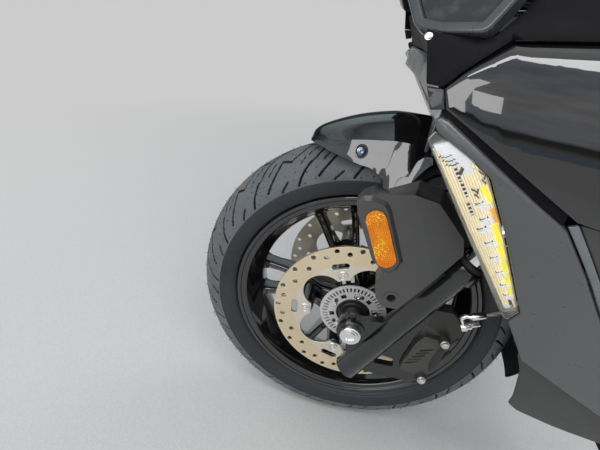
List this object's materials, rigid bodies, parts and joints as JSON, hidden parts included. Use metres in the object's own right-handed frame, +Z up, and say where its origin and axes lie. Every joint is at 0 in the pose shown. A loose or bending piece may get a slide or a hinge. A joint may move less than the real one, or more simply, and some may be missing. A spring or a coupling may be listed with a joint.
{
  "type": "motor scooter front end",
  "caption": "Front end of a motor scooter: steered wheel with drilled brake discs, telescopic fork and mudguard under a front apron with lamps, held by its frame head.",
  "frame": {"origin": "centre of the bolt pattern on the rear face of the frame head's mounting plate", "axes": "+X to the rear of the scooter, +Y to the rider's right, +Z up"},
  "size_m": [0.7123, 0.62, 0.8863],
  "materials": {
    "tyre_rubber": "matte",
    "gloss_black_rim": "gloss",
    "disc_steel": "brushed",
    "bright_steel": "satin",
    "zinc_steel": "satin",
    "fork_grey": "satin",
    "chromed_steel": "polished",
    "black_rubber": "matte",
    "black_casting": "satin",
    "caliper_grey": "satin",
    "matte_cover": "matte",
    "amber_reflector": "gloss",
    "gloss_black_panel": "gloss",
    "black_steel": "satin",
    "hose_jacket": "satin",
    "black_plastic": "matte",
    "grey_panel": "satin",
    "headlamp_lens": "clear",
    "matte_dark_panel": "matte",
    "pale_trim": "satin",
    "matte_grey_panel": "matte",
    "lamp_lens": "clear"
  },
  "bodies": {
    "frame": {"frame_head": "black_steel", "leg_shield": "black_plastic", "glovebox_lids": "matte_dark_panel", "top_cover": "black_plastic", "front_cover": "black_plastic", "inner_panel": "black_plastic", "nose_panel": "grey_panel", "wheel_liner": "black_plastic", "headlamps": "headlamp_lens", "headlamp_bezels": "grey_panel", "shoulder_panel_left": "black_plastic", "shoulder_panel_right": "black_plastic", "end_caps": "matte_cover", "belly_panel_left": "matte_dark_panel", "belly_panel_right": "matte_dark_panel", "upper_panel_left": "gloss_black_panel", "upper_panel_right": "gloss_black_panel", "trim_channels": "black_plastic", "rear_side_panel_left": "matte_dark_panel", "rear_side_panel_right": "matte_dark_panel", "trim_strips": "pale_trim", "side_panel_left": "matte_grey_panel", "side_panel_right": "matte_grey_panel", "running_lamp_left": "lamp_lens", "running_lamp_right": "lamp_lens"},
    "fork": {"axle": "zinc_steel", "axle_spacers": "zinc_steel", "slider_left": "fork_grey", "slider_right": "fork_grey", "stanchions": "chromed_steel", "dust_seals": "black_rubber", "lower_yoke": "black_casting", "steering_stem": "zinc_steel", "caliper_left": "caliper_grey", "caliper_right": "caliper_grey", "fork_cover_left": "matte_cover", "fork_cover_right": "matte_cover", "reflectors": "amber_reflector", "mudguard": "gloss_black_panel", "mudguard_brackets": "black_steel", "brake_hoses": "hose_jacket", "hose_fittings": "bright_steel", "hose_junction": "black_casting"},
    "wheel": {"tyre": "tyre_rubber", "rim": "gloss_black_rim", "disc_left": "disc_steel", "disc_right": "disc_steel", "tone_ring": "bright_steel"}
  },
  "joints": [
    {"name": "steer", "type": "hinge", "parent": "frame", "child": "fork", "pos_m": [-0.15314, 0, 0.39427], "axis": [0.4446, 0, 0.8957], "range_deg": [-32, 32]},
    {"name": "wheel_spin", "type": "hinge", "parent": "fork", "child": "wheel", "pos_m": [-0.43, 0, -0.06], "axis": [0, 1, 0], "continuous": true}
  ]
}
